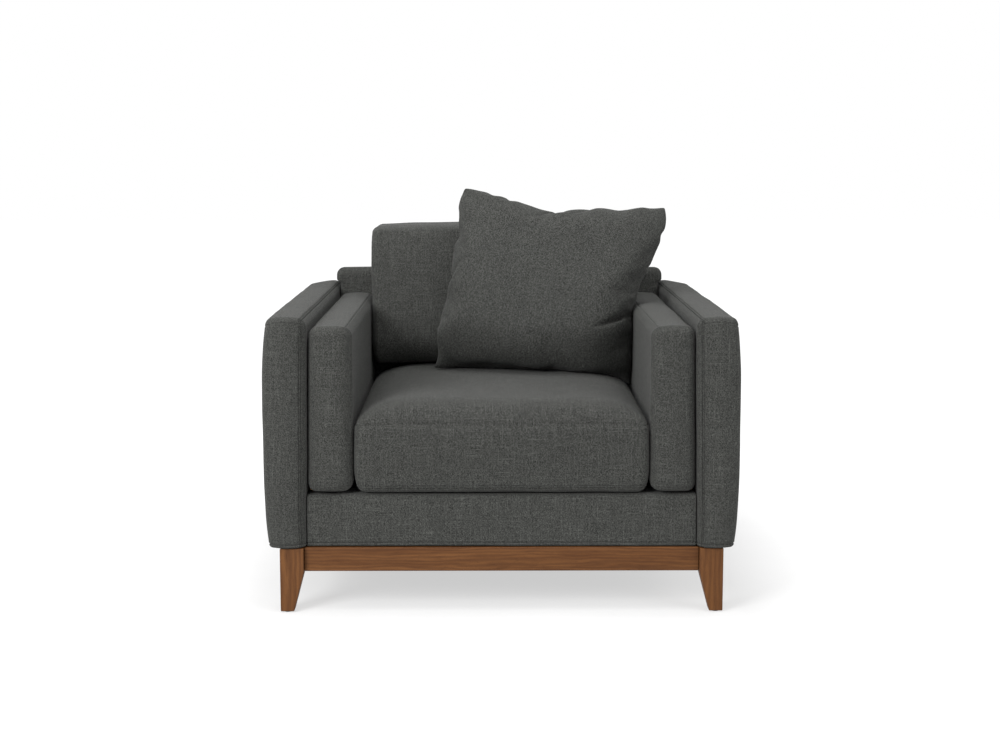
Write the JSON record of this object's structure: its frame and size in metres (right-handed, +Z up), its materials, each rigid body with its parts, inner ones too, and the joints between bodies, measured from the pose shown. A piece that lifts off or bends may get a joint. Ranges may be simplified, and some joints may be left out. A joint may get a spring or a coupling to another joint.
{
  "type": "upholstered armchair",
  "caption": "Upholstered armchair with square padded arms, inner arm pads, loose seat and back cushions, a throw pillow, and a tapered-leg wooden base.",
  "frame": {"origin": "on the floor, under the middle of the chair's bounding box", "axes": "+Z up; -Y is the front, where the sitter's knees point; +X is to the right seen from the front"},
  "size_m": [0.97, 0.905, 0.8521],
  "materials": {
    "body_cloth": "matte",
    "cushion_cloth": "matte",
    "wood": "satin",
    "hardwood": "matte",
    "plywood": "matte",
    "foam": "matte",
    "steel": "satin",
    "nylon": "satin",
    "lining": "matte",
    "zip": "satin"
  },
  "bodies": {
    "frame": {"arm_cover_left": "body_cloth", "arm_cover_right": "body_cloth", "arm_foam_left": "foam", "arm_foam_right": "foam", "arm_panel_left": "plywood", "arm_panel_right": "plywood", "back_cover": "body_cloth", "back_foam": "foam", "back_lower_rail": "hardwood", "back_post_left": "hardwood", "back_post_right": "hardwood", "back_top_rail": "hardwood", "base_rail_front": "wood", "base_rail_left": "wood", "base_rail_rear": "wood", "base_rail_right": "wood", "corner_block_front_left": "hardwood", "corner_block_front_right": "hardwood", "corner_block_rear_left": "hardwood", "corner_block_rear_right": "hardwood", "deck_pad": "lining", "dust_cover": "lining", "foot_glide_front_left": "nylon", "foot_glide_front_right": "nylon", "foot_glide_rear_left": "nylon", "foot_glide_rear_right": "nylon", "front_rail_cover": "body_cloth", "leg_bolt_front_left": "steel", "leg_bolt_front_right": "steel", "leg_bolt_rear_left": "steel", "leg_bolt_rear_right": "steel", "leg_front_left": "wood", "leg_front_right": "wood", "leg_rear_left": "wood", "leg_rear_right": "wood", "pad_board_left": "plywood", "pad_board_right": "plywood", "pad_cover_left": "body_cloth", "pad_cover_right": "body_cloth", "pad_foam_left": "foam", "pad_foam_right": "foam", "seat_rail_front": "hardwood", "seat_rail_left": "hardwood", "seat_rail_rear": "hardwood", "seat_rail_right": "hardwood", "seat_spring_1": "steel", "seat_spring_2": "steel", "seat_spring_3": "steel", "seat_spring_4": "steel", "seat_spring_5": "steel"},
    "back_cushion": {"back_cushion_cover": "cushion_cloth", "back_cushion_fill": "foam", "back_cushion_zip": "zip"},
    "seat_cushion": {"seat_cushion_core": "foam", "seat_cushion_cover": "cushion_cloth", "seat_cushion_zip": "zip"},
    "throw_pillow": {"throw_pillow_cover": "cushion_cloth", "throw_pillow_insert": "foam", "throw_pillow_zip": "zip"}
  },
  "joints": [
    {"name": "seat_cushion_lift", "type": "slide", "parent": "frame", "child": "seat_cushion", "axis": [0, 0, 1], "range_m": [0, 0.4]},
    {"name": "back_cushion_lift", "type": "slide", "parent": "seat_cushion", "child": "back_cushion", "axis": [0, 0.1118, 0.9937], "range_m": [0, 0.36]},
    {"name": "throw_pillow_lift", "type": "slide", "parent": "seat_cushion", "child": "throw_pillow", "axis": [0, 0, 1], "range_m": [0, 0.45]}
  ]
}
